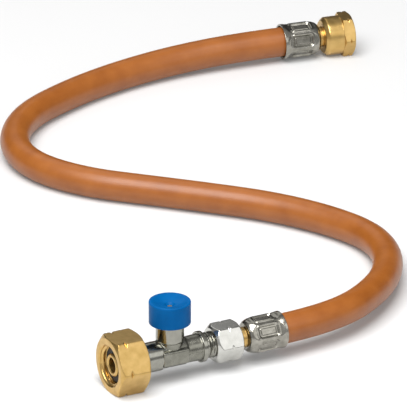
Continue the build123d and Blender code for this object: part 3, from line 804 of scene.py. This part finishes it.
def forgedMesh(shape):
    # rough shells that overlap, melted into one skin, smoothed like a forging, then bored
    angle = angleRow(96)
    shells = []
    for name, axis in (("arm", flowAxis), ("root", buttonAxis)):
        along, radius = roundedLoop(shape[name])
        shells.append(turnedMesh(name, along, radius, angle, axis))
    ends = np.array([0.0, 0.0, 1.0, 1.0])[:, None]
    skin = np.array([0.0, 1.0, 1.0, 0.0])[:, None]
    halfLength, halfWidth, halfHeight = shape["pad"]
    padAlong = buttonX + halfLength * (2 * ends - 1)
    padRadius = 1.0 + skin * (boxRing(padAlong, halfHeight, halfWidth, angle) - 1.0)
    shells.append(turnedMesh("pad", padAlong, padRadius, angle, flowAxis))
    lowHalf, highHalf, halfThick = shape["gusset"]
    low, high = shape["gussetSpan"]
    height = low + (high - low) * ends
    reach = lowHalf + (highHalf - lowHalf) * ends
    gussetRadius = 1.0 + skin * (boxRing(height, reach, halfThick, angle, 6.0) - 1.0)
    shells.append(turnedMesh("gusset", height, gussetRadius, angle, buttonAxis))
    halfFlash, flashReach = shape["flash"]
    first, last = shape["flashSpan"]
    flashAlong = first + (last - first) * ends
    flashRadius = 0.2 + skin * (boxRing(flashAlong, halfFlash, flashReach, angle, 12.0) - 0.2)
    shells.append(turnedMesh("flash", flashAlong, flashRadius, angle, flowAxis))
    rough = linkObject("roughForging", joinMeshes("roughForging", shells))
    remesh = rough.modifiers.new("melt", "REMESH")
    remesh.mode, remesh.voxel_size = "VOXEL", shape["voxel"]
    smooth = rough.modifiers.new("soften", "SMOOTH")
    smooth.factor, smooth.iterations = 0.5, shape["smoothing"]
    cutters = []
    for name, axis in (("passage", flowAxis), ("well", buttonAxis)):
        cutter = linkObject(name, boreMesh(name, shape[name], axis))
        cut = rough.modifiers.new(name, "BOOLEAN")
        cut.operation, cut.solver, cut.object = "DIFFERENCE", "EXACT", cutter
        cutters.append(cutter)
    bpy.context.view_layer.update()
    graph = bpy.context.evaluated_depsgraph_get()
    result = bpy.data.meshes.new_from_object(rough.evaluated_get(graph))
    for helper in (rough, *cutters):
        bpy.data.objects.remove(helper)
    # the bores leave long faces with many corners, which are split into triangles here so that
    # no slivers come of them later
    cleaner = bmesh.new()
    cleaner.from_mesh(result)
    bmesh.ops.remove_doubles(cleaner, verts=cleaner.verts, dist=1e-7)
    bmesh.ops.triangulate(cleaner, faces=cleaner.faces)
    cleaner.to_mesh(result)
    cleaner.free()
    return result


def makeBody(shape):
    # the forging in the middle, with the machined neck, stem and threaded nose turned round it
    angle = angleRow(216)
    meshes = [forgedMesh(shape)]
    for name, axis in (("neck", flowAxis), ("stem", buttonAxis)):
        along, radius = roundedLoop(shape[name])
        meshes.append(turnedMesh(name, along, radius, angle, axis))
    along, radius = roundedLoop(shape["nose"])
    first, last = shape["threadSpan"]
    fadeIn, fadeOut = shape["threadFade"]
    fade = easeStep((along - first) / fadeIn) * easeStep((last - along) / fadeOut)
    onThread = fade * (np.abs(radius - shape["threadCrest"]) < 0.1)
    root = 1 - helixRidge(along, angle, shape["threadPitch"], 1)
    groove = shape["threadDepth"] * onThread * root
    meshes.append(turnedMesh("nose", along, radius - groove, angle, flowAxis))
    mesh = joinMeshes("valveBody", meshes)
    addPiece("valveBody", mesh, "hose_line", ["valve_body"], "nickel_plate")
    mesh.materials.append(machinedNickel)
    finish = np.ones(len(mesh.polygons), dtype=np.int32)
    finish[: len(meshes[0].polygons)] = 0  # the forging comes first and keeps the rougher plate
    mesh.polygons.foreach_set("material_index", finish)


springShapes = {
    "resetSpring": {
        "node": "button_spring",
        "axis": buttonAxis,
        "turns": 5,
        "coilRadius": 2.3,
        "wireRadius": 0.275,
        "span": (14.02, 24.06),
        "bodies": ("hose_line", "button"),  # the well's floor, then the pin's shoulder
    },
    "poppetSpring": {
        "node": "poppet_spring",
        "axis": flowAxis,
        "turns": 4,
        "coilRadius": 3.3,
        "wireRadius": 0.225,
        "span": (-29.70, -20.54),
        "bodies": ("poppet_body", "hose_line"),  # the moving guide, then the fixed spider
    },
}


def springMesh(name, shape):
    # tube round a helix: point = centre + wire radius * (cos(v) * outwards + sin(v) * across),
    # where the centre climbs one pitch a turn and across is square to the run and to outwards
    origin, direction, up = (np.array(part, float) for part in shape["axis"])
    side = np.cross(direction, up)
    first = shape["span"][0] + shape["wireRadius"]
    rise = shape["span"][1] - shape["wireRadius"] - first
    share = np.linspace(0, 1, shape["turns"] * 36 + 1)[:, None, None]
    turn = 2 * np.pi * shape["turns"] * share
    outwards = np.cos(turn) * up + np.sin(turn) * side
    around = np.cos(turn) * side - np.sin(turn) * up
    run = 2 * np.pi * shape["turns"] * shape["coilRadius"] * around + rise * direction
    across = np.cross(run / np.linalg.norm(run, axis=2, keepdims=True), outwards)
    centre = origin + (first + rise * share) * direction + shape["coilRadius"] * outwards
    section = angleRow(12)[..., None]
    ring = np.cos(section) * outwards + np.sin(section) * across
    points = (centre + shape["wireRadius"] * ring) * mm
    index = np.arange(points.shape[0] * points.shape[1]).reshape(points.shape[:2])
    beside = np.roll(index, -1, axis=1)
    sides = np.stack([index[:-1], index[1:], beside[1:], beside[:-1]], axis=-1).reshape(-1, 4)
    ends = [index[0].tolist(), index[-1][::-1].tolist()]
    mesh = bpy.data.meshes.new(name)
    mesh.from_pydata(points.reshape(-1, 3).tolist(), [], sides.tolist() + ends)
    cleaner = bmesh.new()
    cleaner.from_mesh(mesh)
    bmesh.ops.recalc_face_normals(cleaner, faces=cleaner.faces)
    cleaner.to_mesh(mesh)
    cleaner.free()
    return mesh


def makeSpring(name, shape):
    # a coiled wire put in place of the CAD spring, which is hidden; neither end is attached to the
    # piece that it presses on
    mesh = springMesh(name, shape)
    smoothShade(mesh)
    mesh.materials.append(springSteel)
    spring = linkObject(name, mesh)
    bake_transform(spring)
    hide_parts(shape["node"])


for springName, springShape in springShapes.items():
    makeSpring(springName, springShape)
print("springs coiled")
makeInletNut(inletNutShape)
makeOutletNut(outletNutShape)
farNut = makeFarNut(farNutShape)
nearRoll, farRoll = 0.0, 13.0  # degrees that each ferrule's hexagon is turned about the hose
makeFerrule(ferruleShape, "nearFerrule", "near_ferrule", nearHoseAxis, nearRoll)
farFerrule = makeFerrule(ferruleShape, "farFerrule", "far_ferrule", farHoseAxis, farRoll)
makeCap(capShape)
print("nuts, ferrules and cap made")
makeBody(bodyShape)
print("valve body made")


hoseShape = {
    "diameter": 0.0163,
    "seat": 0.0026,  # how far the rubber starts inside each ferrule
    "exit": (0.0505, 0.0, 0.015),
    "farExit": (0.23228, 0.34766, 0.011),
    # control points in metres; the lowest rest on the floor
    "route": (
        (0.0839, 0.0, 0.015),
        (0.1264, 0.0292, 0.0124),
        (0.1500, 0.0635, 0.0094),
        (0.1565, 0.0965, 0.00815),
        (0.1450, 0.1278, 0.00815),
        (0.1265, 0.1565, 0.00815),
        (0.1025, 0.1815, 0.00815),
        (0.079, 0.2045, 0.00815),
        (0.052, 0.2305, 0.00815),
        (0.036, 0.262, 0.00815),
        (0.0385, 0.2945, 0.00815),
        (0.0605, 0.3245, 0.00815),
        (0.097, 0.342, 0.00815),
        (0.131, 0.352, 0.00815),
        (0.166, 0.3555, 0.0092),
        (0.2056, 0.3520, 0.011),
    ),
}


def makeHose(shape):
    # one NURBS line through the rubber's middle, swept with a round section
    seat = shape["seat"]
    start = (shape["exit"][0] - seat, 0.0, shape["exit"][2])
    farX, farY, farZ = shape["farExit"]
    end = (farX + seat * math.cos(farTurn), farY + seat * math.sin(farTurn), farZ)
    points = (start, *shape["route"], end)
    data = bpy.data.curves.new("hoseTube", "CURVE")
    data.dimensions = "3D"
    data.bevel_depth = shape["diameter"] / 2
    data.bevel_resolution = 12
    data.resolution_u = 16
    data.use_fill_caps = True
    spline = data.splines.new("NURBS")
    spline.points.add(len(points) - 1)
    for control, place in zip(spline.points, points):
        control.co = (*place, 1.0)
    spline.order_u = 3
    spline.use_endpoint_u = True
    tube = linkObject("hoseTube", data)
    data.materials.append(orangeRubber)
    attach(tube, "hose_line")
    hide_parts("hose")


makeHose(hoseShape)
print("hose laid")
